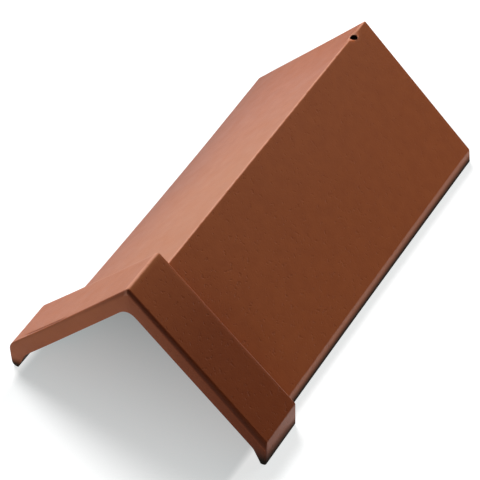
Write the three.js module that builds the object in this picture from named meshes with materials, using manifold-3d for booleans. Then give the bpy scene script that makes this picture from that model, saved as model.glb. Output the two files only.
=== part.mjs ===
// Angle ridge tile: two flat wings at right angles, a thick collar at the front end that laps the tail of
// the next tile, down-turned lips on the collar's feet, and a nail hole through the ridge near the tail.
// Millimetres, +Z up, +Y along the ridge towards the tail, origin under the middle of the tile.

import * as THREE from 'three';
import { mergeVertices } from 'three/addons/utils/BufferGeometryUtils.js';
import Module from 'manifold-3d';

// Overall sizes
const TOTAL_LENGTH = 450;
const COLLAR_LENGTH = 55;
const BODY_WIDTH = 234;
const COLLAR_WIDTH = 263;
const BODY_HEIGHT = 132;
const COLLAR_STEP = 26;
const PITCH = Math.PI / 4;

// Walls, socket and lips
const WALL = 14;
const SOCKET_DEPTH = 42;
const SOCKET_PLAY = 2;
const LIP_HEIGHT = 15.5;
const COLLAR_FOOT_WIDTH = 6;

// Edge roundings
const RIDGE_RADIUS = 3;
const WING_EDGE_RADIUS = 1.5;
const FOOT_RADIUS = 2;
const COLLAR_FRONT_RADIUS = 4;
const INNER_RIDGE_RADIUS = 12;
const LIP_ROOT_RADIUS = 3;

// Nail hole
const NAIL_HOLE_DIAMETER = 7;
const NAIL_HOLE_FROM_TAIL = 25;

// Facets
const ARC_STEPS = 8;
const HOLE_SIDES = 24;

// Fired clay, as the photo shows it
const CLAY_COLOUR = 0x94553d;
const CLAY_ROUGHNESS = 0.62;

// How far cutting shapes run past the faces that they cut
const CUT_PAST = 10;

const FALL = Math.tan(PITCH);
const WALL_UPRIGHT = WALL / Math.cos(PITCH);
const frontEnd = -TOTAL_LENGTH / 2;
const collarBack = frontEnd + COLLAR_LENGTH;
const socketEnd = frontEnd + SOCKET_DEPTH;
const tailEnd = TOTAL_LENGTH / 2;
const collarHeight = BODY_HEIGHT + COLLAR_STEP;
const hollowHeight = BODY_HEIGHT - WALL_UPRIGHT;
const socketHeight = BODY_HEIGHT + SOCKET_PLAY;

const wasm = await Module();
wasm.setup();

// Shape through the corners [x, z, radius], with an arc of that radius at each
function roundedOutline(corners) {
  const shape = new THREE.Shape();
  const pointAt = (i) => new THREE.Vector2(...corners.at(i % corners.length));
  corners.forEach(([x, z, radius], i) => {
    const corner = new THREE.Vector2(x, z);
    const back = pointAt(i - 1).sub(corner).normalize();
    const ahead = pointAt(i + 1).sub(corner).normalize();
    const halfAngle = back.angleTo(ahead) / 2;
    const reach = radius / Math.tan(halfAngle);
    const bisector = back.clone().add(ahead).normalize();
    const centre = corner.clone().addScaledVector(bisector, radius / Math.sin(halfAngle));
    const start = corner.clone().addScaledVector(back, reach).sub(centre).angle();
    const end = corner.clone().addScaledVector(ahead, reach).sub(centre).angle();
    shape.absarc(centre.x, centre.y, radius, start, end, back.cross(ahead) > 0);
  });
  return shape;
}

// Outline symmetrical about the ridge, from the corners of its right half, ridge first
function tentOutline(rightHalf) {
  const leftHalf = rightHalf.slice(1).reverse().map(([x, z, radius]) => [-x, z, radius]);
  return roundedOutline([...rightHalf, ...leftHalf]);
}

// Solid with the outline as its cross-section between two places along the ridge
function alongRidge(outline, front, back, endRounding = 0) {
  const geometry = new THREE.ExtrudeGeometry(outline, {
    depth: back - front - 2 * endRounding,
    curveSegments: ARC_STEPS,
    bevelEnabled: endRounding > 0,
    bevelThickness: endRounding,
    bevelSize: endRounding,
    bevelOffset: -endRounding,
    bevelSegments: ARC_STEPS,
  });
  geometry.rotateX(Math.PI / 2);
  geometry.translate(0, back - endRounding, 0);
  return toSolid(geometry);
}

function toSolid(geometry) {
  geometry.deleteAttribute('normal');
  geometry.deleteAttribute('uv');
  const merged = mergeVertices(geometry, 1e-4);
  return new wasm.Manifold(new wasm.Mesh({
    numProp: 3,
    vertProperties: new Float32Array(merged.attributes.position.array),
    triVerts: new Uint32Array(merged.index.array),
  }));
}

function toGeometry(solid) {
  const mesh = solid.getMesh();
  const geometry = new THREE.BufferGeometry();
  geometry.setAttribute('position', new THREE.BufferAttribute(mesh.vertProperties, 3));
  geometry.setIndex(new THREE.BufferAttribute(mesh.triVerts, 1));
  geometry.computeVertexNormals();
  return geometry;
}

// Right half of a wing pair's outside: ridge, wing edge and the foot below it
function wingCorners(height, width, footRadius) {
  const half = width / 2;
  return [
    [0, height, RIDGE_RADIUS],
    [half, height - half * FALL, WING_EDGE_RADIUS],
    [half, 0, footRadius],
  ];
}

function bodyOutside() {
  return alongRidge(tentOutline(wingCorners(BODY_HEIGHT, BODY_WIDTH, FOOT_RADIUS)), socketEnd, tailEnd);
}

// The collar's front edge is rounded by a second prism whose rounded end stands at the front
function collarOutside() {
  const half = COLLAR_WIDTH / 2;
  const outside = alongRidge(tentOutline(wingCorners(collarHeight, COLLAR_WIDTH, FOOT_RADIUS)), frontEnd, collarBack);
  const roundedFront = tentOutline([
    [0, collarHeight, 0],
    [half, collarHeight - half * FALL, 0],
    [half, -CUT_PAST, 0],
  ]);
  return outside.intersect(alongRidge(roundedFront, frontEnd, collarBack + CUT_PAST, COLLAR_FRONT_RADIUS));
}

// Tent-shaped hollow under the whole tile
function hollow() {
  const half = (hollowHeight + CUT_PAST) / FALL;
  const outline = tentOutline([
    [0, hollowHeight, INNER_RIDGE_RADIUS],
    [half, -CUT_PAST, 0],
  ]);
  return alongRidge(outline, frontEnd - CUT_PAST, tailEnd + CUT_PAST);
}

// Wider hollow in the collar: its roof clears the next tile's tail, and its sides slant out to the lips' feet
function socket() {
  const rootHalf = (socketHeight - LIP_HEIGHT) / FALL;
  const footHalf = COLLAR_WIDTH / 2 - COLLAR_FOOT_WIDTH;
  const lipSlant = (footHalf - rootHalf) / LIP_HEIGHT;
  const outline = tentOutline([
    [0, socketHeight, INNER_RIDGE_RADIUS],
    [rootHalf, LIP_HEIGHT, LIP_ROOT_RADIUS],
    [footHalf + lipSlant * CUT_PAST, -CUT_PAST, 0],
  ]);
  return alongRidge(outline, frontEnd - CUT_PAST, socketEnd);
}

function nailHole() {
  const radius = NAIL_HOLE_DIAMETER / 2;
  const height = BODY_HEIGHT - hollowHeight + 2 * CUT_PAST;
  const geometry = new THREE.CylinderGeometry(radius, radius, height, HOLE_SIDES);
  geometry.rotateX(Math.PI / 2);
  geometry.translate(0, tailEnd - NAIL_HOLE_FROM_TAIL, (BODY_HEIGHT + hollowHeight) / 2);
  return toSolid(geometry);
}

function ridgeTile() {
  const solid = bodyOutside()
    .add(collarOutside())
    .subtract(hollow())
    .subtract(socket())
    .subtract(nailHole());
  const material = new THREE.MeshStandardMaterial({
    color: CLAY_COLOUR,
    roughness: CLAY_ROUGHNESS,
    metalness: 0,
    flatShading: true,
  });
  const mesh = new THREE.Mesh(toGeometry(solid), material);
  mesh.name = 'ridge_tile';
  return mesh;
}

const tile = new THREE.Group();
tile.add(ridgeTile());

export default tile;
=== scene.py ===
"""Ridge tile of fired clay on a pale studio floor: the moulded tile with worn edges, painted light, shade
and highlights, and a clay finish.
"""

import math
from collections import namedtuple

import bpy
import numpy as np
from mathutils import Matrix, Vector


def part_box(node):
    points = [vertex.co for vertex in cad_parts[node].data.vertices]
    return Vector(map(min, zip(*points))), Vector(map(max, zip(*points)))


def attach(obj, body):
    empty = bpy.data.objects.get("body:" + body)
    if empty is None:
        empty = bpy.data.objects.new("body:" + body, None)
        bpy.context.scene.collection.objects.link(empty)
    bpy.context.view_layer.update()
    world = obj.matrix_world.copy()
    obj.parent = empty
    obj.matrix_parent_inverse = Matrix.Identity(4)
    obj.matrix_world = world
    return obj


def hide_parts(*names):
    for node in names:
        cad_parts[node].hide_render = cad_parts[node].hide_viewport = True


MM = 0.001
SQRT2 = math.sqrt(2.0)

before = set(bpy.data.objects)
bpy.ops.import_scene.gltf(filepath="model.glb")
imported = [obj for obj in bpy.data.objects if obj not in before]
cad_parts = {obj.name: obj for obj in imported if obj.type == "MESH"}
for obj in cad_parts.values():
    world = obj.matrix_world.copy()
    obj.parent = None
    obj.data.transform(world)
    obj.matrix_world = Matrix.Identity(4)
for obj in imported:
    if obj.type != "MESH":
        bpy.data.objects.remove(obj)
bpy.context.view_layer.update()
low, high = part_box("ridge_tile")

# Places along the ridge and half widths
FRONT = low[1]
TAIL = high[1]
COLLAR_HALF = high[0]
COLLAR_BACK = FRONT + 56 * MM
SOCKET_END = FRONT + 42 * MM
BODY_HALF = 117 * MM

# Wall, heights of the wing planes over the tile's middle line, and how the collar's left wing differs
WALL = 14 * MM
BODY_TOP = 132 * MM
COLLAR_TOP = 158 * MM
LEFT_WING_LOWER = 1 * MM
LEFT_WING_WIDER = 0.2 * MM
SOCKET_TOP = 134.5 * MM
HOLLOW_TOP = BODY_TOP - SQRT2 * WALL

# The right halves of the collar and of its socket lie flatter than the left ones: they start lower and
# fall less for each step outwards
RIGHT_WING_LOWER = 6 * MM
RIGHT_WING_FALL = 0.947
RIGHT_SOCKET_LOWER = 7.2 * MM
RIGHT_SOCKET_FALL = 0.943

# Lips of the collar: the height of their roots and the width of their feet
RIGHT_LIP_HEIGHT = 15.5 * MM
LEFT_LIP_HEIGHT = 19.5 * MM
RIGHT_COLLAR_FOOT = 5.4 * MM
LEFT_COLLAR_FOOT = 8 * MM

# How far the plumb sides lean out at the foot
BODY_FOOT_LEAN = 1.2 * MM
LEFT_COLLAR_FOOT_LEAN = -1.7 * MM

# Edge roundings, as the setback from the sharp corner
COLLAR_RIDGE_EDGE = 2.4 * MM
BODY_RIDGE_EDGE = 1.2 * MM
RIGHT_WING_EDGE = 0.9 * MM
LEFT_COLLAR_WING_EDGE = 6.5 * MM
LEFT_BODY_WING_EDGE = 2.2 * MM
RIGHT_COLLAR_FOOT_EDGE = 2.4 * MM
LEFT_COLLAR_FOOT_EDGE = 5 * MM
BODY_FOOT_EDGE = 1 * MM
FOOT_INSIDE_EDGE = 0.6 * MM
INNER_RIDGE = 12 * MM
LIP_ROOT = 2 * MM
END_EDGE = 2 * MM
INNER_FRONT_EDGE = 0.4 * MM
COLLAR_BACK_EDGE = 1 * MM
COLLAR_BACK_AT_RIDGE = 4.2 * MM

# Fillet between the collar's back and the body, and how far the faces of the steps slope along the ridge
ROOT_FILLET = 1.5 * MM
STEP_DRAFT = 0.8 * MM

# The collar's front edge: how far back it starts at the ridge, wing edges and plumb ends. It turns off the
# wing at a slope of FRONT_EDGE_TURN and curves into the front face FRONT_EDGE_DROP times as far down.
FRONT_EDGE_AT_RIDGE = 1.6 * MM
FRONT_EDGE_RIGHT = 2.9 * MM
FRONT_EDGE_LEFT = 0.8 * MM
FRONT_EDGE_AT_ENDS = 1 * MM
FRONT_EDGE_DEPTH = max(FRONT_EDGE_RIGHT, FRONT_EDGE_LEFT)
FRONT_EDGE_TURN = 0.75
FRONT_EDGE_DROP = 2.75

# Nail hole with its rounded rim
HOLE_Y = TAIL - 25 * MM
HOLE_RADIUS = 3.7 * MM
HOLE_RIM_WIDTH = 0.5 * MM
HOLE_RIM_DEPTH = 0.4 * MM

# Plug that cuts the hole: how far it runs below and above the ridge's surface, how far its top flares past
# the rim, and how far below the rim the upper ring of its wall lies
PLUG_BELOW = 40 * MM
PLUG_ABOVE = 10 * MM
PLUG_FLARE = 0.3 * MM
PLUG_WALL_RING = 1 * MM

# Flat that is pressed into the ridge round the hole: its rounding of the ridge, how flat it is, how far it
# stays level along the ridge and where it runs out
HOLE_RIDGE_EDGE = 4.9 * MM
HOLE_FLATNESS = 0.9
HOLE_FLAT_LEVEL = 3 * MM
HOLE_FLAT_REACH = 12 * MM

# Pale ring round the hole, and the painted shade on its wall
PALE_RIM_REACH = 5.5 * MM
PALE_RIM_FADE = 2 * MM
PALE_RIM_STRENGTH = 2
HOLE_WALL_SHADE = 0.88

# Crease in the left wing that starts at the front edge and runs back outwards: its ends across the tile,
# how far they lie behind the front, its size, and the share of its length that runs out at each end
CREASE_START_X = -68 * MM
CREASE_END_X = -117 * MM
CREASE_START = 2.7 * MM
CREASE_END = 4.4 * MM
CREASE_HALF_WIDTH = 1.5 * MM
CREASE_DEPTH = 1.1 * MM
CREASE_RUN_OUT = 1 / 6
# Painted shade in the crease, whose wall faces away from the key light
CREASE_SHADE = 1

# Firing warp: the wing edges are drawn in halfway along the body and spread elsewhere, the right one only
# towards the tail, where the ridge rises
LEFT_EDGE_DRAWN_IN = 2 * MM
LEFT_EDGE_SPREAD = 1.5 * MM
RIGHT_EDGE_DRAWN_IN = 0.5 * MM
RIGHT_EDGE_SPREAD = 0.8 * MM
RIDGE_RISE = 0.8 * MM

# Slow waves of the mould, each with its share of the height, its turn in radians for each metre across and
# along the tile, and its start. They die out towards the feet.
WAVINESS = 0.07 * MM
MOULD_WAVES = ((1, 23, 61, 0.7), (1, -49, 37, 2.1), (0.6, 83, 118, 1.3))
WAVES_FULL_HEIGHT = 20 * MM

# Painted shade over the feet, darkest at the bottom where they meet the floor: its height at the right
# front corner, elsewhere and inside, and its strength
FRONT_SHADE_HEIGHT = 19 * MM
FOOT_SHADE_HEIGHT = 11 * MM
INNER_SHADE_HEIGHT = 26 * MM
DEEP_SHADE_STRENGTH = 1.3

# Painted shade along the collar's front edge, which faces away from the lights: on the front face, at that
# face's right end, how much lighter the edge is where it turns off the wing, the share of it that is left
# beside the ridge on the left wing, and its reach there
FRONT_FACE_SHADE = 0.42
FRONT_END_SHADE = 0.82
FRONT_EDGE_LIGHTER = 0.25
LEFT_FRONT_SHADE = 0.6
LEFT_SHADE_REACH = 54 * MM

# Deeper painted shade and mattness that come with the front edge's painted shade. The deeper shade shows
# only where that shade is thick.
FRONT_EDGE_DEEP_SHADE = 0.3
DEEP_SHADE_START = 0.8
DEEP_SHADE_FULL = 0.925
FRONT_MATTNESS = 0.5

# Painted shade on the collar's right wing, which faces away from the lights: its share at the ridge and
# where it is full; then painted shade on the body's right wing next to the collar's step, how far it
# reaches back and where it is full
COLLAR_SHADE = 0.52
COLLAR_SHADE_AT_RIDGE = 0.2
COLLAR_SHADE_FULL = COLLAR_HALF * 4 / 9
ROOT_SHADE = 0.2
ROOT_SHADE_REACH = 55 * MM
ROOT_SHADE_FULL = 40 * MM

# How much darker the body's left wing is made along its edge and at the tail, in the colour that paints
# shade elsewhere. The places are shares of the body's length, from the collar, and of its half width, from
# the ridge.
LEFT_EDGE_DARKENING = 0.5
LEFT_EDGE_FULL_ALONG = 0.5
LEFT_EDGE_START_ACROSS = 1 / 3
LEFT_TAIL_DARKENING = 0.2
LEFT_TAIL_START_ALONG = 0.75
LEFT_TAIL_FULL_ACROSS = 0.05

# Wear of the edges, and painted highlights on the ridge, the right wing edge and the collar's back edge
RIDGE_HIGHLIGHT = 3
RIGHT_WING_HIGHLIGHT = 1
LEFT_WING_WEAR = 0.1
FOOT_WEAR = 0.5
FOOT_INSIDE_WEAR = 0.3
COLLAR_BACK_WEAR_AND_HIGHLIGHT = 2.5

# Painted light on the lit left wing, and the shares of the body's length between which it fades
LEFT_COLLAR_PAINTED_LIGHT = 0.33
LEFT_WING_PAINTED_LIGHT = 0.75
PAINTED_LIGHT_FADE_START = 0.4
PAINTED_LIGHT_FADE_END = 0.8

# Mattness of the left wing, the share of the body's length at which the tail's starts, and how much of that
# the edge lacks
LEFT_COLLAR_MATTNESS = 0.035
LEFT_TAIL_MATTNESS = 0.24
TAIL_MATTNESS_START = 7 / 9
TAIL_MATTNESS_FADE = 0.8

# How much of the right wing's pits is gone at the tail
PITS_FADE = 0.7

# Mesh density along the ridge
STATION_STEP = 3.5 * MM
CREASE_STATION_STEP = 0.5 * MM
HOLE_STATION_STEP = 0.75 * MM
FRONT_EDGE_STEPS = 14
COLLAR_BACK_STEPS = 9
ROOT_FILLET_STEPS = 5
END_EDGE_STEPS = 6

# Mesh density round the nail hole
HOLE_SIDES = 48
HOLE_RIM_STEPS = 6

# Mesh density of a cross-section: points round each corner, along its right sides from the ridge to the
# inner ridge, along all its sides, and on the outside from the ridge to the right foot
ARC_STEPS = 9
SIDE_COUNTS = (46, 6, 1, 5, 26)
LOOP_COUNTS = SIDE_COUNTS + SIDE_COUNTS[::-1]
OUTSIDE_COUNT = 3 * ARC_STEPS + SIDE_COUNTS[0] + SIDE_COUNTS[1]

# Edges where the surface turns by more than this stay sharp
SHARP_ANGLE = math.radians(32)

# Camera of the photograph, with its lens and sensor in millimetres
CAMERA_AIM = Vector((9.0, -46.9, 70.1)) * MM
CAMERA_DISTANCE = 2.4
CAMERA_AZIMUTH = math.radians(29.409)
CAMERA_ELEVATION = math.radians(43.250)
CAMERA_ROLL = math.radians(-1.043)
CAMERA_LENS = 195.78
CAMERA_SENSOR = 36
CAMERA_CLIP_END = 50

# Floor and its glow, which paints light on the floor and is dimmer under the tile as a painted shadow. The
# glow starts to grow at GLOW_START from its centre, GLOW_STRETCH times as fast across the tile as along it,
# and is full after GLOW_REACH
FLOOR_SIZE = 8.0
FLOOR_COLOUR = (0.45, 0.45, 0.45, 1)
FLOOR_ROUGHNESS = 0.9
FLOOR_SHINE = 0.1
GLOW_IN_PAINTED_SHADOW = (0.205, 0.243, 0.25, 1)
GLOW_AROUND = (0.72, 0.735, 0.735, 1)
GLOW_CENTRE = Vector((-5, 0, 0)) * MM
GLOW_START = Vector((111, 100, 0)) * MM
GLOW_STRETCH = Vector((24, 1, 0))
GLOW_REACH = 232 * MM

# Two softboxes and the light from all sides
KEY_PLACE = Vector((-3.5, 2.9, 4.75))
KEY_SIZE = 3.0
KEY_POWER = 572.0
TOP_PLACE = Vector((0.6, 0.9, 0.85))
TOP_SIZE = 0.7
TOP_POWER = 3.6
AMBIENT_COLOUR = (1, 1, 1, 1)
AMBIENT = 0.035

# Clay colours, linear; some of them paint light, shade and highlights
CLAY_DARK = (0.325, 0.0785, 0.0225, 1)
CLAY_LIGHT = (0.355, 0.0885, 0.025, 1)
# Pale colour of worn edges, which also paints highlights on the ridge, the right wing edge and the collar's
# back
CLAY_WEAR_AND_HIGHLIGHT = (0.48, 0.18, 0.1, 1)
# Colour that paints light on the lit left wing
CLAY_PAINTED_LIGHT = (0.46, 0.185, 0.07, 1)
CLAY_PITTED = (0.22, 0.048, 0.014, 1)
# Colour that paints shade on the front edge, the collar's right wing, the crease and by the collar's step,
# and darkens the left wing
CLAY_SHADE_AND_DARKENING = (0.125, 0.015, 0.0015, 1)
# Near-black colour that paints shade on the feet, in the front edge and on the nail hole's wall
CLAY_DEEP_SHADE = (0.012, 0.008, 0.006, 1)
CLAY_SHEEN_TINT = (1, 1, 0.77, 1)

# Patterns of the clay: noise, its scale in waves to the metre, with values of start to end made low to high
Pattern = namedtuple("Pattern", "scale detail start end low high")
MOTTLING = Pattern(scale=90, detail=4, start=0.3, end=0.7, low=0, high=1)
WEAR_AND_HIGHLIGHT_PATCHES = Pattern(scale=120, detail=4, start=0.35, end=0.65, low=0.15, high=0.75)
PITS = Pattern(scale=260, detail=2, start=0.62, end=0.7, low=0, high=1)
CLAY_ROUGHNESS = Pattern(scale=60, detail=3, start=0.3, end=0.7, low=0.385, high=0.435)
GRAIN_SCALE = 460
GRAIN_DETAIL = 3

# Clay finish: how much of their colours the pits and the pale places take, the shine, the roughness that
# full mattness adds, the depth of the pits beside the height of the grain, and the relief of both
PITS_TINT = 0.3
PAINTED_LIGHT_TINT = 0.45
CLAY_SHINE = 0.165
MATT_ROUGHNESS = 0.55
PITS_RELIEF = -1.8
RELIEF_STRENGTH = 0.35
RELIEF_HEIGHT = 0.3 * MM

# Outside and inside of a stretch of the tile: heights of the left and right wing planes over the middle
# line, how far the right wing falls for each step outwards, the half widths, leans and edge roundings
Outside = namedtuple(
    "Outside",
    "left_top right_top right_fall left_half right_half left_lean right_lean"
    " ridge_edge ridge_flatness left_wing_edge left_foot_edge right_foot_edge",
)
Inside = namedtuple("Inside", "left_top right_top right_fall left_half right_half")
COLLAR = Outside(
    left_top=COLLAR_TOP - LEFT_WING_LOWER,
    right_top=COLLAR_TOP - RIGHT_WING_LOWER,
    right_fall=RIGHT_WING_FALL,
    left_half=COLLAR_HALF + LEFT_WING_WIDER,
    right_half=COLLAR_HALF,
    left_lean=LEFT_COLLAR_FOOT_LEAN,
    right_lean=0,
    ridge_edge=COLLAR_RIDGE_EDGE,
    ridge_flatness=0,
    left_wing_edge=LEFT_COLLAR_WING_EDGE,
    left_foot_edge=LEFT_COLLAR_FOOT_EDGE,
    right_foot_edge=RIGHT_COLLAR_FOOT_EDGE,
)
BODY = Outside(
    left_top=BODY_TOP,
    right_top=BODY_TOP,
    right_fall=1,
    left_half=BODY_HALF,
    right_half=BODY_HALF,
    left_lean=BODY_FOOT_LEAN,
    right_lean=BODY_FOOT_LEAN,
    ridge_edge=BODY_RIDGE_EDGE,
    ridge_flatness=0,
    left_wing_edge=LEFT_BODY_WING_EDGE,
    left_foot_edge=BODY_FOOT_EDGE,
    right_foot_edge=BODY_FOOT_EDGE,
)
SOCKET = Inside(
    left_top=SOCKET_TOP,
    right_top=SOCKET_TOP - RIGHT_SOCKET_LOWER,
    right_fall=RIGHT_SOCKET_FALL,
    left_half=COLLAR_HALF - LEFT_COLLAR_FOOT,
    right_half=COLLAR_HALF - RIGHT_COLLAR_FOOT,
)
HOLLOW = Inside(
    left_top=HOLLOW_TOP,
    right_top=HOLLOW_TOP,
    right_fall=1,
    left_half=HOLLOW_TOP,
    right_half=HOLLOW_TOP,
)

# Cross-section at a place along the ridge, with the wear and painted highlight all over its outside and its
# painted shade at the ridge and at the right wing edge. A flush one stands back nowhere, and an unshaded
# one has no painted shade of its own.
Station = namedtuple("Station", "y loop wear edge_soil")
FLUSH = (0, 0, 0, 0, 0)
UNSHADED = (0, 0)


def rise(value, start, end):
    """Grows evenly from 0 at the start to 1 at the end."""
    return np.clip((value - start) / (end - start), 0, 1)


def corner_arc(before, corner, after, setback, flatness):
    """Points round a corner, from a setback before it to a setback after it. Flatness 1 cuts it off."""
    start = corner + (before - corner) / np.linalg.norm(before - corner) * setback
    end = corner + (after - corner) / np.linalg.norm(after - corner) * setback
    bend = corner + flatness * ((start + end) / 2 - corner)
    t = np.linspace(0, 1, ARC_STEPS)[:, None]
    return (1 - t) ** 2 * start + 2 * t * (1 - t) * bend + t ** 2 * end


def closed_loop(corners, setbacks, first_flatness):
    """Closed outline through rounded corners, with a fixed number of points on each side between them."""
    arcs = []
    for i, corner in enumerate(corners):
        flatness = first_flatness if i == 0 else 0
        after = corners[(i + 1) % len(corners)]
        arcs.append(corner_arc(corners[i - 1], corner, after, setbacks[i], flatness))
    points = []
    for i, arc in enumerate(arcs):
        following = arcs[(i + 1) % len(arcs)]
        t = np.linspace(0, 1, LOOP_COUNTS[i] + 2)[1:-1, None]
        points.append(arc)
        points.append((1 - t) * arc[-1] + t * following[0])
    return np.concatenate(points)


def rounding(radius, depth):
    """How far a quarter-round edge stands back at a depth behind the face."""
    reach = max(radius - depth, 0.0)
    return radius - math.sqrt(radius * radius - reach * reach)


def front_edge(start, depth):
    """How far the collar's front edge stands back at a depth behind the front face."""
    t = 1 - math.sqrt(min(depth / start, 1.0))
    return start * (2 * t * (1 - t) * FRONT_EDGE_TURN + t * t * FRONT_EDGE_DROP)


def ridge_point(planes):
    """Where a left plane that falls one for one meets the right plane."""
    x = (planes.right_top - planes.left_top) / (1 + planes.right_fall)
    return x, planes.left_top + x


def section(outer, inner, stand_back):
    """Closed cross-section. stand_back is how far the ridge, right wing edge, left wing edge, plumb ends
    and inside draw back from the outside and inside that are given."""
    ridge_back, right_back, left_back, end_back, inside_back = stand_back
    right_x = outer.right_half - end_back
    left_x = outer.left_half - end_back
    right_root_x = (inner.right_top - RIGHT_LIP_HEIGHT) / inner.right_fall + inside_back
    left_root_x = inner.left_top - LEFT_LIP_HEIGHT + inside_back
    ridge_x, ridge_z = ridge_point(outer)
    inner_x, inner_z = ridge_point(inner)
    corners = [
        (ridge_x, ridge_z - SQRT2 * ridge_back),
        (right_x, outer.right_top - outer.right_fall * right_x - SQRT2 * right_back),
        (right_x + outer.right_lean, 0),
        (inner.right_half, 0),
        (right_root_x, RIGHT_LIP_HEIGHT + inside_back / 2),
        (inner_x, inner_z + SQRT2 * inside_back),
        (-left_root_x, LEFT_LIP_HEIGHT + inside_back / 2),
        (-inner.left_half, 0),
        (-left_x - outer.left_lean, 0),
        (-left_x, outer.left_top - left_x - SQRT2 * left_back),
    ]
    setbacks = [outer.ridge_edge, RIGHT_WING_EDGE, outer.right_foot_edge, FOOT_INSIDE_EDGE, LIP_ROOT]
    setbacks += [INNER_RIDGE, LIP_ROOT, FOOT_INSIDE_EDGE, outer.left_foot_edge, outer.left_wing_edge]
    return closed_loop(np.array(corners), setbacks, outer.ridge_flatness)


def even_places(start, end, step=STATION_STEP):
    """Places from the start to the end, about a step apart."""
    count = max(2, round((end - start) / step))
    return np.linspace(start, end, count + 1)


def quarter(radius, steps):
    """Depths along a quarter round, from the face to where the rounding ends."""
    return [radius * (1 - math.cos(angle)) for angle in np.linspace(0, math.pi / 2, steps)]


def flattened_ridge(y):
    """Rounding and flatness of the body's ridge, which is pressed flat round the nail hole."""
    share = 1 - rise(np.abs(y - HOLE_Y), HOLE_FLAT_LEVEL, HOLE_FLAT_REACH)
    share = share ** 2 * (3 - 2 * share)
    return BODY_RIDGE_EDGE + (HOLE_RIDGE_EDGE - BODY_RIDGE_EDGE) * share, HOLE_FLATNESS * share


def front_shade(across):
    """How much painted shade the front edge takes, from the wing at 0 to the front face at 1: most in
    between.
    """
    return 1 - (1 - FRONT_FACE_SHADE) * across ** 4 - FRONT_EDGE_LIGHTER * (1 - across) ** 3


def front_stations():
    """The collar's front edge."""
    result = []
    for depth in quarter(FRONT_EDGE_DEPTH, FRONT_EDGE_STEPS)[:-1]:
        ridge_back = front_edge(FRONT_EDGE_AT_RIDGE, depth)
        right_back = front_edge(FRONT_EDGE_RIGHT, depth)
        left_back = front_edge(FRONT_EDGE_LEFT, depth)
        end_back = rounding(FRONT_EDGE_AT_ENDS, depth)
        inside_back = rounding(INNER_FRONT_EDGE, depth)
        loop = section(COLLAR, SOCKET, (ridge_back, right_back, left_back, end_back, inside_back))
        # Painted shade on the front edge, heavier at the front face's right end
        soil = front_shade(right_back / (FRONT_EDGE_RIGHT * FRONT_EDGE_DROP))
        end_shade = FRONT_END_SHADE if depth == 0 else soil
        result.append(Station(FRONT + depth, loop, 0, (soil, end_shade)))
    return result


def collar_stations():
    """The collar behind its front edge, first over the socket and then over the hollow."""
    crease_end = FRONT + CREASE_END + CREASE_HALF_WIDTH
    socket_places = [
        *even_places(FRONT + FRONT_EDGE_DEPTH, crease_end, CREASE_STATION_STEP),
        *even_places(crease_end, SOCKET_END)[1:],
    ]
    hollow_places = even_places(SOCKET_END + STEP_DRAFT, COLLAR_BACK - COLLAR_BACK_AT_RIDGE)
    result = [Station(y, section(COLLAR, SOCKET, FLUSH), 0, UNSHADED) for y in socket_places]
    result += [Station(y, section(COLLAR, HOLLOW, FLUSH), 0, UNSHADED) for y in hollow_places]
    return result


def collar_back_stations():
    """The collar's back edge, which is rounded most at the ridge."""
    result = []
    for depth in quarter(COLLAR_BACK_AT_RIDGE, COLLAR_BACK_STEPS)[-2::-1]:
        ridge_back = rounding(COLLAR_BACK_AT_RIDGE, depth)
        back = rounding(COLLAR_BACK_EDGE, depth)
        loop = section(COLLAR, HOLLOW, (ridge_back, back, back, back, 0))
        # Wear and painted highlight on the collar's back edge
        wear = COLLAR_BACK_WEAR_AND_HIGHLIGHT if depth < COLLAR_BACK_EDGE else 0
        result.append(Station(COLLAR_BACK - depth, loop, wear, UNSHADED))
    return result


def root_stations():
    """The fillet between the collar's back and the body."""
    result = []
    for depth in quarter(ROOT_FILLET, ROOT_FILLET_STEPS):
        out = rounding(ROOT_FILLET, depth)
        top = BODY_TOP + SQRT2 * out
        half = BODY_HALF + out
        grown = BODY._replace(left_top=top, right_top=top, left_half=half, right_half=half)
        result.append(Station(COLLAR_BACK + STEP_DRAFT + depth, section(grown, HOLLOW, FLUSH), 0, UNSHADED))
    return result


def body_stations():
    """The body behind the fillet, with its ridge pressed flat round the nail hole."""
    flat_start = HOLE_Y - HOLE_FLAT_REACH
    flat_end = HOLE_Y + HOLE_FLAT_REACH
    places = [
        *even_places(COLLAR_BACK + STEP_DRAFT + ROOT_FILLET, flat_start)[1:],
        *even_places(flat_start, flat_end, HOLE_STATION_STEP)[1:],
        *even_places(flat_end, TAIL - END_EDGE)[1:],
    ]
    result = []
    for y in places:
        ridge_edge, flatness = flattened_ridge(y)
        body = BODY._replace(ridge_edge=ridge_edge, ridge_flatness=flatness)
        result.append(Station(y, section(body, HOLLOW, FLUSH), 0, UNSHADED))
    return result


def tail_stations():
    """The rounded edge of the tail."""
    result = []
    for depth in quarter(END_EDGE, END_EDGE_STEPS)[-2::-1]:
        back = rounding(END_EDGE, depth)
        result.append(Station(TAIL - depth, section(BODY, HOLLOW, [back] * len(FLUSH)), 0, UNSHADED))
    return result


def stations():
    """The cross-sections of the whole tile, front to tail."""
    return [
        *front_stations(),
        *collar_stations(),
        *collar_back_stations(),
        *root_stations(),
        *body_stations(),
        *tail_stations(),
    ]


def outside_points(ring):
    """Which points of a cross-section lie on the outside, the roundings of the feet among them."""
    outside = np.zeros(ring, bool)
    outside[:OUTSIDE_COUNT] = True
    outside[ARC_STEPS - OUTSIDE_COUNT:] = True
    return outside


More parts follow.
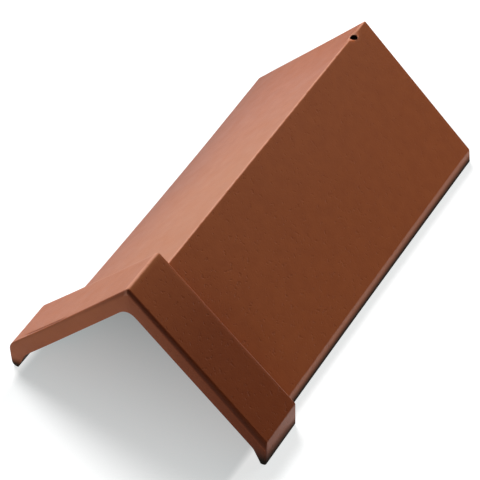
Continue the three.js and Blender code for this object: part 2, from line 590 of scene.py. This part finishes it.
def loop_wear_and_highlight():
    """How worn a cross-section's points are, with painted highlights: most on the left side of the ridge
    and the right wing edge.
    """
    bump = np.sin(np.linspace(0, math.pi, ARC_STEPS))
    right_wear_and_highlight = (0, RIGHT_WING_HIGHLIGHT, FOOT_WEAR, FOOT_INSIDE_WEAR, 0)
    left_wear_and_highlight = (0, 0, FOOT_INSIDE_WEAR, FOOT_WEAR, LEFT_WING_WEAR)
    wear = []
    for amount, count in zip(right_wear_and_highlight + left_wear_and_highlight, LOOP_COUNTS):
        wear.append(amount * bump)
        wear.append(np.zeros(count))
    wear = np.concatenate(wear)
    # Painted highlight along the ridge
    wear[:ARC_STEPS] = RIDGE_HIGHLIGHT * np.cos(np.linspace(0, math.pi / 2, ARC_STEPS))
    return wear


def unevenness(points):
    """Points moved by the firing warp of the ridge and wing edges and by slow waves of the mould."""
    x, y, z = points.T
    t = rise(y, COLLAR_BACK, TAIL)
    middle = 1 - (2 * t - 1) ** 2
    left = LEFT_EDGE_DRAWN_IN * middle - LEFT_EDGE_SPREAD
    right = RIGHT_EDGE_SPREAD * t - RIGHT_EDGE_DRAWN_IN * middle
    sideways = np.where(x < 0, left, right) * (x / BODY_HALF) ** 2
    wave = sum(
        share * np.sin(across * x + along * y + start)
        for share, across, along, start in MOULD_WAVES
    )
    lift = WAVINESS * wave * rise(z, 0, WAVES_FULL_HEIGHT) + RIDGE_RISE * t ** 2 * z / BODY_TOP
    return points + np.stack([sideways, np.zeros_like(y), lift], axis=1)


def front_crease(x, y):
    """How much of its depth the crease in the left wing has at the points of a cross-section."""
    along = (CREASE_START_X - x) / (CREASE_START_X - CREASE_END_X)
    middle = FRONT + CREASE_START + (CREASE_END - CREASE_START) * along
    across = 1 - rise(np.abs(y - middle), 0, CREASE_HALF_WIDTH)
    return across * rise(along, 0, CREASE_RUN_OUT) * rise(1 - along, 0, CREASE_RUN_OUT)


def body_share(y):
    """Place along the body as a share of its length, from the collar's back to the tail."""
    return (y - COLLAR_BACK) / (TAIL - COLLAR_BACK)


def leftward(x):
    """Place across the left wing as a share of the body's half width, from the ridge to the edge."""
    return rise(-x, 0, BODY_HALF)


def collar_shading(x, outside, edge_soil):
    """How much painted shade the collar takes: along the front edge and on the right wing."""
    ridge_shade, end_shade = edge_soil
    left_share = LEFT_FRONT_SHADE * rise(x, -LEFT_SHADE_REACH, 0)
    share = np.where(x > ridge_point(COLLAR)[0], 1, left_share)
    front = share * (ridge_shade + (end_shade - ridge_shade) * rise(x, 0, COLLAR_HALF))
    growth = COLLAR_SHADE_AT_RIDGE + (1 - COLLAR_SHADE_AT_RIDGE) * rise(x, 0, COLLAR_SHADE_FULL)
    return np.maximum(front, COLLAR_SHADE * growth * outside * (x > 0))


def body_shade_and_darkening(x, y, outside):
    """How dark the body is made: darker along the left wing's edge and at its tail, and painted shade on
    the right wing next to the collar.
    """
    along = body_share(y)
    across = leftward(x)
    edge = LEFT_EDGE_DARKENING * rise(along, 0, LEFT_EDGE_FULL_ALONG)
    edge = edge * rise(across, LEFT_EDGE_START_ACROSS, 1) ** 2
    tail = LEFT_TAIL_DARKENING * rise(along, LEFT_TAIL_START_ALONG, 1)
    tail = tail * rise(across, 0, LEFT_TAIL_FULL_ACROSS) * (1 - across)
    # Painted shade on the right wing next to the collar's step
    root = ROOT_SHADE * (1 - rise(y - COLLAR_BACK, 0, ROOT_SHADE_REACH)) * rise(x, 0, ROOT_SHADE_FULL)
    return (edge + tail + root) * outside


def left_mattness(x, y, outside):
    """How matt the left wing is: a little on the collar, most at the tail next to the ridge."""
    left = outside * (x < 0)
    if y < COLLAR_BACK:
        return LEFT_COLLAR_MATTNESS * left
    growth = rise(body_share(y), TAIL_MATTNESS_START, 1)
    return LEFT_TAIL_MATTNESS * left * growth * (1 - TAIL_MATTNESS_FADE * leftward(x))


def painted_light(x, y, outside):
    """How much painted light the lit left wing takes: a little on the collar, most behind it, and not at
    all on the front edge and where the collar's back face starts."""
    left = outside * (x < 0) * (1 - leftward(x) ** 2)
    if y < COLLAR_BACK:
        return LEFT_COLLAR_PAINTED_LIGHT * left * (y > FRONT + FRONT_EDGE_RIGHT)
    fading = 1 - rise(body_share(y), PAINTED_LIGHT_FADE_START, PAINTED_LIGHT_FADE_END)
    return LEFT_WING_PAINTED_LIGHT * left * fading * (y > COLLAR_BACK)


def pitting(x, y, outside):
    """How pitted the right wing is: most on the collar, least at the tail."""
    return outside * (x > 0) * (1 - PITS_FADE * rise(y, COLLAR_BACK, TAIL))


def foot_shading(x, y, z, outside):
    """How dark the painted shade over the feet is, darkest where they meet the floor: higher at the right
    front corner and on the inside.
    """
    front_share = (1 - rise(y, FRONT, COLLAR_BACK)) * (x > 0)
    height = FOOT_SHADE_HEIGHT + (FRONT_SHADE_HEIGHT - FOOT_SHADE_HEIGHT) * front_share
    return np.clip(DEEP_SHADE_STRENGTH * (1 - z / np.where(outside, height, INNER_SHADE_HEIGHT)), 0, 1)


def surface_marks(station, outside, crease, end_face):
    """How worn and highlighted, how lit with painted light, how pitted, how darkened and shaded with
    painted shade, and how matt the points of a cross-section are.
    """
    y = station.y
    x, z = station.loop.T
    if y < COLLAR_BACK:
        soil = collar_shading(x, outside, station.edge_soil)
    else:
        soil = body_shade_and_darkening(x, y, outside)
    # Painted shade in the crease
    soil = np.maximum(soil, CREASE_SHADE * crease)
    deep_shade = foot_shading(x, y, z, outside | end_face)
    matt = left_mattness(x, y, outside)
    # Deeper painted shade in the thick of the front edge's painted shade
    if station.edge_soil != UNSHADED:
        thick = rise(soil, DEEP_SHADE_START, DEEP_SHADE_FULL)
        deep_shade = np.maximum(deep_shade, FRONT_EDGE_DEEP_SHADE * thick)
        matt = FRONT_MATTNESS * soil
    wear = np.zeros(len(x)) if end_face else np.maximum(loop_wear_and_highlight(), station.wear * outside)
    return {
        "edge_wear_and_highlight": wear,
        "painted_light": painted_light(x, y, outside),
        "pits": pitting(x, y, outside),
        "soil": soil,
        "deep_shade": deep_shade,
        "mattness": np.maximum(deep_shade, matt),
    }


def set_marks(mesh, rows):
    """Writes the marks of all cross-sections as attributes of the mesh's points."""
    for name in rows[0]:
        attribute = mesh.attributes.new(name, "FLOAT", "POINT")
        attribute.data.foreach_set("value", np.concatenate([row[name] for row in rows]))


def loft_faces(row_count, ring):
    """Quads between rows of points that are closed to rings."""
    faces = []
    for start in range(0, (row_count - 1) * ring, ring):
        for i in range(ring):
            j = (i + 1) % ring
            faces.append((start + i, start + j, start + ring + j, start + ring + i))
    return faces


def band_faces(points, first_row, second_row):
    """Triangles between two rows of points that run side by side and share their ends."""

    def progress(row):
        steps = np.linalg.norm(np.diff(points[row], axis=0), axis=1)
        return np.concatenate([[0], np.cumsum(steps)]) / steps.sum()

    first_share = progress(first_row)
    second_share = progress(second_row)
    faces = []
    i = j = 0
    while i + 1 < len(first_row) or j + 1 < len(second_row):
        second_done = j + 1 == len(second_row)
        if second_done or (i + 1 < len(first_row) and first_share[i + 1] < second_share[j + 1]):
            corners = (first_row[i], first_row[i + 1], second_row[j])
            i += 1
        else:
            corners = (first_row[i], second_row[j + 1], second_row[j])
            j += 1
        if len(set(corners)) == 3:
            faces.append(tuple(int(corner) for corner in corners))
    return faces


def end_faces(points, start, ring):
    """Triangles between the outside and the inside of the cross-section whose points begin at the start."""
    outer_row = np.roll(np.arange(ring), OUTSIDE_COUNT)[:2 * OUTSIDE_COUNT]
    inner_row = np.arange(ring)[OUTSIDE_COUNT - 1:ring - OUTSIDE_COUNT + 1][::-1]
    return band_faces(points, start + outer_row, start + inner_row)


def tile_mesh():
    """Loft of the cross-sections, closed at the front and the tail, with the marks of each point."""
    places = stations()
    last = len(places) - 1
    ring = len(places[0].loop)
    outside = outside_points(ring)
    points = []
    rows = []
    for row, station in enumerate(places):
        x, z = station.loop.T
        crease = front_crease(x, station.y) * outside
        points.append(np.stack([x, np.full(ring, station.y), z - CREASE_DEPTH * crease], axis=1))
        rows.append(surface_marks(station, outside, crease, row in (0, last)))
    points = np.concatenate(points)
    faces = loft_faces(len(places), ring)
    faces += [face[::-1] for face in end_faces(points, 0, ring)]
    faces += end_faces(points, last * ring, ring)
    mesh = bpy.data.meshes.new("ridge_tile_clay")
    mesh.from_pydata(unevenness(points).tolist(), [], faces)
    set_marks(mesh, rows)
    return mesh


def ridge_surface(x, y):
    """Height of the body's outside near the ridge line."""
    x = np.abs(x)
    ridge_edge, flatness = flattened_ridge(y)
    reach = ridge_edge / SQRT2
    crown = (1 - flatness) / 2
    rounded = BODY_TOP - reach * (1 - crown * (1 - (x / reach) ** 2))
    return np.where(x < reach, rounded, BODY_TOP - x)


def hole_plug():
    """Plug of the nail hole, whose top flares out to the ridge's surface as a rounded rim."""
    angles = np.linspace(0, 2 * math.pi, HOLE_SIDES, endpoint=False)
    rings = []

    def add_ring(radius, below):
        x = radius * np.cos(angles)
        y = HOLE_Y + radius * np.sin(angles)
        rings.append(np.stack([x, y, ridge_surface(x, y) - below], axis=1))

    add_ring(HOLE_RADIUS, PLUG_BELOW)
    add_ring(HOLE_RADIUS, HOLE_RIM_DEPTH + PLUG_WALL_RING)
    for angle in np.linspace(0, math.pi / 2, HOLE_RIM_STEPS):
        outward = HOLE_RIM_WIDTH * (1 - math.cos(angle))
        add_ring(HOLE_RADIUS + outward, HOLE_RIM_DEPTH * (1 - math.sin(angle)))
    add_ring(HOLE_RADIUS + HOLE_RIM_WIDTH + PLUG_FLARE, -PLUG_ABOVE)
    last = (len(rings) - 1) * HOLE_SIDES
    faces = [
        tuple(reversed(range(HOLE_SIDES))),
        *loft_faces(len(rings), HOLE_SIDES),
        tuple(range(last, last + HOLE_SIDES)),
    ]
    mesh = bpy.data.meshes.new("hole_plug")
    mesh.from_pydata(unevenness(np.concatenate(rings)).tolist(), [], faces)
    plug = bpy.data.objects.new("hole_plug", mesh)
    bpy.context.collection.objects.link(plug)
    return plug


def cut_hole(tile):
    """Cuts the nail hole into the tile's mesh and takes the plug away."""
    plug = hole_plug()
    modifier = tile.modifiers.new("nail_hole", "BOOLEAN")
    modifier.operation = "DIFFERENCE"
    modifier.solver = "EXACT"
    modifier.object = plug
    bpy.context.view_layer.update()
    evaluated = tile.evaluated_get(bpy.context.evaluated_depsgraph_get())
    mesh = bpy.data.meshes.new_from_object(evaluated)
    tile.modifiers.clear()
    tile.data = mesh
    bpy.data.objects.remove(plug)


def mark_hole(mesh):
    """Marks the nail hole's rim as pale and paints shade on its wall."""
    count = len(mesh.vertices)
    points = np.empty(3 * count)
    mesh.vertices.foreach_get("co", points)
    x, y, z = points.reshape(-1, 3).T
    radius = np.hypot(x, y - HOLE_Y)
    depth = ridge_surface(x, y) - z
    pale = (1 - rise(radius, PALE_RIM_REACH - PALE_RIM_FADE, PALE_RIM_REACH)) * (depth < HOLE_RIM_DEPTH)
    # Painted shade on the hole's wall
    wall_shade = rise(depth, 0, HOLE_RIM_DEPTH) * (radius < HOLE_RADIUS + HOLE_RIM_WIDTH)
    for name, value in (("edge_wear_and_highlight", PALE_RIM_STRENGTH * pale), ("deep_shade", HOLE_WALL_SHADE * wall_shade)):
        data = mesh.attributes[name].data
        before = np.empty(count)
        data.foreach_get("value", before)
        data.foreach_set("value", np.maximum(before, value))


def clay_material():
    """Mottled clay, coloured and roughened by the marks of the mesh, which paint light, shade and
    highlights on it, with a fine grain and pits.
    """
    material = bpy.data.materials.new("fired_clay")
    material.use_nodes = True
    tree = material.node_tree
    shader = tree.nodes["Principled BSDF"]
    shader.inputs["Specular IOR Level"].default_value = CLAY_SHINE
    shader.inputs["Specular Tint"].default_value = CLAY_SHEEN_TINT
    place = tree.nodes.new("ShaderNodeTexCoord").outputs["Object"]

    def connect(value, socket):
        """Sets a socket to a constant, or to what another node gives."""
        if isinstance(value, bpy.types.NodeSocket):
            tree.links.new(value, socket)
        else:
            socket.default_value = value

    def noise(scale, detail):
        node = tree.nodes.new("ShaderNodeTexNoise")
        node.inputs["Scale"].default_value = scale
        node.inputs["Detail"].default_value = detail
        connect(place, node.inputs["Vector"])
        return node.outputs["Fac"]

    def pattern(kind):
        node = tree.nodes.new("ShaderNodeMapRange")
        node.inputs["From Min"].default_value = kind.start
        node.inputs["From Max"].default_value = kind.end
        node.inputs["To Min"].default_value = kind.low
        node.inputs["To Max"].default_value = kind.high
        connect(noise(kind.scale, kind.detail), node.inputs["Value"])
        return node.outputs["Result"]

    def mix_colour(factor, first, second):
        node = tree.nodes.new("ShaderNodeMix")
        node.data_type = "RGBA"
        connect(factor, node.inputs["Factor"])
        connect(first, node.inputs["A"])
        connect(second, node.inputs["B"])
        return node.outputs["Result"]

    def calculate(operation, first, second):
        node = tree.nodes.new("ShaderNodeMath")
        node.operation = operation
        connect(first, node.inputs[0])
        connect(second, node.inputs[1])
        return node.outputs["Value"]

    def mark(name):
        node = tree.nodes.new("ShaderNodeAttribute")
        node.attribute_name = name
        return node.outputs["Fac"]

    pits = calculate("MULTIPLY", pattern(PITS), mark("pits"))
    pale = calculate("MULTIPLY", mark("painted_light"), PAINTED_LIGHT_TINT)
    pale_edges = calculate("MULTIPLY", mark("edge_wear_and_highlight"), pattern(WEAR_AND_HIGHLIGHT_PATCHES))
    colour = mix_colour(pattern(MOTTLING), CLAY_DARK, CLAY_LIGHT)
    colour = mix_colour(calculate("MULTIPLY", pits, PITS_TINT), colour, CLAY_PITTED)
    # Painted light on the left wing
    colour = mix_colour(pale, colour, CLAY_PAINTED_LIGHT)
    # Wear, and painted highlights on the ridge and edges
    colour = mix_colour(pale_edges, colour, CLAY_WEAR_AND_HIGHLIGHT)
    # Painted shade, and the left wing's darkening
    colour = mix_colour(mark("soil"), colour, CLAY_SHADE_AND_DARKENING)
    # Painted shade on the feet, the front edge and the hole's wall
    colour = mix_colour(mark("deep_shade"), colour, CLAY_DEEP_SHADE)
    connect(colour, shader.inputs["Base Color"])

    matt = calculate("MULTIPLY", mark("mattness"), MATT_ROUGHNESS)
    connect(calculate("ADD", pattern(CLAY_ROUGHNESS), matt), shader.inputs["Roughness"])

    relief = tree.nodes.new("ShaderNodeBump")
    relief.inputs["Strength"].default_value = RELIEF_STRENGTH
    relief.inputs["Distance"].default_value = RELIEF_HEIGHT
    sunken = calculate("MULTIPLY", pits, PITS_RELIEF)
    connect(calculate("ADD", noise(GRAIN_SCALE, GRAIN_DETAIL), sunken), relief.inputs["Height"])
    connect(relief.outputs["Normal"], shader.inputs["Normal"])
    return material


def ridge_tile():
    """The tile as one piece, in place of its solid."""
    tile = bpy.data.objects.new("ridge_tile_clay", tile_mesh())
    bpy.context.collection.objects.link(tile)
    cut_hole(tile)
    mark_hole(tile.data)
    tile.data.shade_smooth()
    tile.data.set_sharp_from_angle(angle=SHARP_ANGLE)
    tile.data.materials.clear()
    tile.data.materials.append(clay_material())
    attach(tile, "root")
    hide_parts("ridge_tile")


def softbox(name, place, size, power):
    """Square area light that faces the tile."""
    light = bpy.data.lights.new(name, "AREA")
    light.size = size
    light.energy = power
    lamp = bpy.data.objects.new(name, light)
    lamp.location = place
    lamp.rotation_euler = (-place).to_track_quat("-Z", "Y").to_euler()
    bpy.context.collection.objects.link(lamp)


def floor_material():
    """Pale floor whose glow paints light on it, dimmer under the tile as a painted shadow and growing to
    the floor around it.
    """
    material = bpy.data.materials.new("pale_floor")
    material.use_nodes = True
    tree = material.node_tree
    shader = tree.nodes["Principled BSDF"]
    shader.inputs["Base Color"].default_value = FLOOR_COLOUR
    shader.inputs["Roughness"].default_value = FLOOR_ROUGHNESS
    shader.inputs["Specular IOR Level"].default_value = FLOOR_SHINE
    shader.inputs["Emission Strength"].default_value = 1

    place = tree.nodes.new("ShaderNodeTexCoord").outputs["Object"]
    nothing = Vector((0, 0, 0))
    steps = (
        ("SUBTRACT", GLOW_CENTRE),
        ("ABSOLUTE", nothing),
        ("SUBTRACT", GLOW_START),
        ("MAXIMUM", nothing),
        ("MULTIPLY", GLOW_STRETCH),
    )
    for operation, operand in steps:
        node = tree.nodes.new("ShaderNodeVectorMath")
        node.operation = operation
        tree.links.new(place, node.inputs[0])
        node.inputs[1].default_value = operand
        place = node.outputs["Vector"]
    distance = tree.nodes.new("ShaderNodeVectorMath")
    distance.operation = "LENGTH"
    tree.links.new(place, distance.inputs[0])
    share = tree.nodes.new("ShaderNodeMapRange")
    share.inputs["From Max"].default_value = GLOW_REACH
    tree.links.new(distance.outputs["Value"], share.inputs["Value"])
    # Dimmer glow under the tile paints its shadow
    glow = tree.nodes.new("ShaderNodeMix")
    glow.data_type = "RGBA"
    glow.inputs["A"].default_value = GLOW_IN_PAINTED_SHADOW
    glow.inputs["B"].default_value = GLOW_AROUND
    tree.links.new(share.outputs["Result"], glow.inputs["Factor"])
    tree.links.new(glow.outputs["Result"], shader.inputs["Emission Color"])
    return material


def studio():
    """Floor, two softboxes and a faint light from all sides."""
    bpy.ops.mesh.primitive_plane_add(size=FLOOR_SIZE, location=(0, 0, 0))
    floor = bpy.context.object
    floor.name = "floor"
    floor.data.materials.append(floor_material())
    softbox("key_softbox", KEY_PLACE, KEY_SIZE, KEY_POWER)
    softbox("top_softbox", TOP_PLACE, TOP_SIZE, TOP_POWER)

    world = bpy.data.worlds.new("studio")
    world.use_nodes = True
    background = world.node_tree.nodes["Background"]
    background.inputs["Color"].default_value = AMBIENT_COLOUR
    background.inputs["Strength"].default_value = AMBIENT
    bpy.context.scene.world = world
    bpy.context.scene.view_settings.view_transform = "Standard"


def camera():
    """Camera on the line through its aim, turned about that line by its roll."""
    data = bpy.data.cameras.new("camera")
    data.lens = CAMERA_LENS
    data.sensor_width = CAMERA_SENSOR
    data.clip_end = CAMERA_CLIP_END
    eye = bpy.data.objects.new("camera", data)
    direction = Vector((
        math.sin(CAMERA_AZIMUTH) * math.cos(CAMERA_ELEVATION),
        -math.cos(CAMERA_AZIMUTH) * math.cos(CAMERA_ELEVATION),
        math.sin(CAMERA_ELEVATION),
    ))
    place = Matrix.Translation(CAMERA_AIM + direction * CAMERA_DISTANCE)
    turn = (-direction).to_track_quat("-Z", "Y").to_matrix().to_4x4()
    eye.matrix_world = place @ turn @ Matrix.Rotation(CAMERA_ROLL, 4, "Z")
    bpy.context.collection.objects.link(eye)
    bpy.context.scene.camera = eye


ridge_tile()
studio()
camera()
